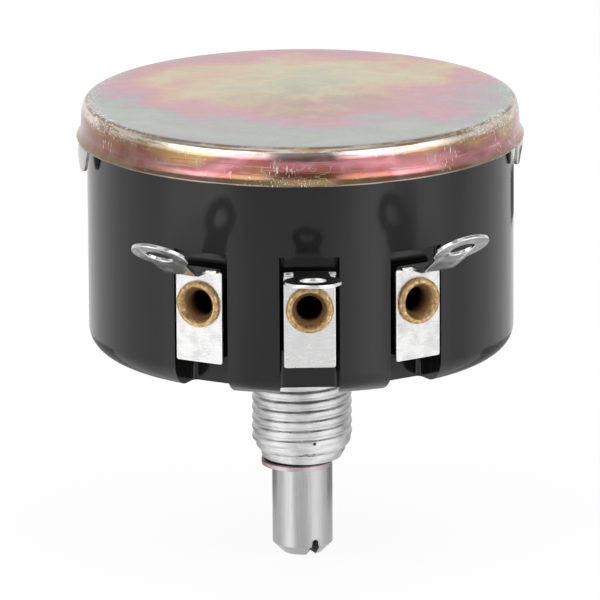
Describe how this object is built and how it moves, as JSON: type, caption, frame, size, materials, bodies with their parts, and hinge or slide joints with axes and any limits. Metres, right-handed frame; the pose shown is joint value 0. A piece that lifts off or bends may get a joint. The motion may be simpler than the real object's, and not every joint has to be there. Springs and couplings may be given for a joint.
{
  "type": "rotary potentiometer",
  "caption": "Large round wirewound potentiometer with a moulded body, a plated metal cover, eyeletted solder lugs, a threaded bush and a slotted shaft.",
  "frame": {"origin": "on the shaft axis, at the flat mounting face of the body", "axes": "+Z along the shaft axis from the mounting face into the body, so the bush and the shaft point along -Z; the centre solder lug stands towards -Y"},
  "size_m": [0.044, 0.0543, 0.0463],
  "materials": {
    "phenolic": "moulded phenolic, dark, glossy",
    "passivated_steel": "zinc plate with an iridescent yellow passivation, scratched",
    "fibre": "vulcanised fibre sheet",
    "nickelled_brass": "nickel plated, dull",
    "nickelled_steel": "nickel plated, satin",
    "bronze_clip": "spring bronze, darkened",
    "card": "paper laminate",
    "resistance_wire": "bare resistance wire",
    "brass_strip": "bare brass strip",
    "tinned_strip": "tinned, bright, lightly scratched",
    "eyelet_brass": "bare rolled brass",
    "hub_phenolic": "brown phenolic",
    "spring_bronze": "rolled phosphor bronze",
    "brush_carbon": "copper graphite",
    "zinc_steel": "zinc plated",
    "rivet_brass": "plain brass"
  },
  "bodies": {
    "case": {"housing": "phenolic", "cover": "passivated_steel", "cover_insulator": "fibre", "bushing": "nickelled_brass", "element_former": "card", "resistance_winding": "resistance_wire", "end_contact_left": "brass_strip", "end_contact_right": "brass_strip", "collector_ring": "brass_strip", "terminal_left": "tinned_strip", "terminal_centre": "tinned_strip", "terminal_right": "tinned_strip", "eyelet_left": "eyelet_brass", "eyelet_centre": "eyelet_brass", "eyelet_right": "eyelet_brass", "thrust_washer": "spring_bronze"},
    "rotor": {"shaft": "nickelled_steel", "retaining_clip": "bronze_clip", "rotor_hub": "hub_phenolic", "wiper_arm": "spring_bronze", "contact_brush": "brush_carbon", "collector_spring": "spring_bronze", "stop_plate": "zinc_steel", "spring_washer": "zinc_steel", "hub_retainer": "zinc_steel", "wiper_rivets": "rivet_brass"}
  },
  "joints": [
    {"name": "shaft_rotation", "type": "hinge", "parent": "case", "child": "rotor", "pos_m": [0, 0, 0], "axis": [0, 0, 1], "range_deg": [-162.5, 117.5]}
  ]
}
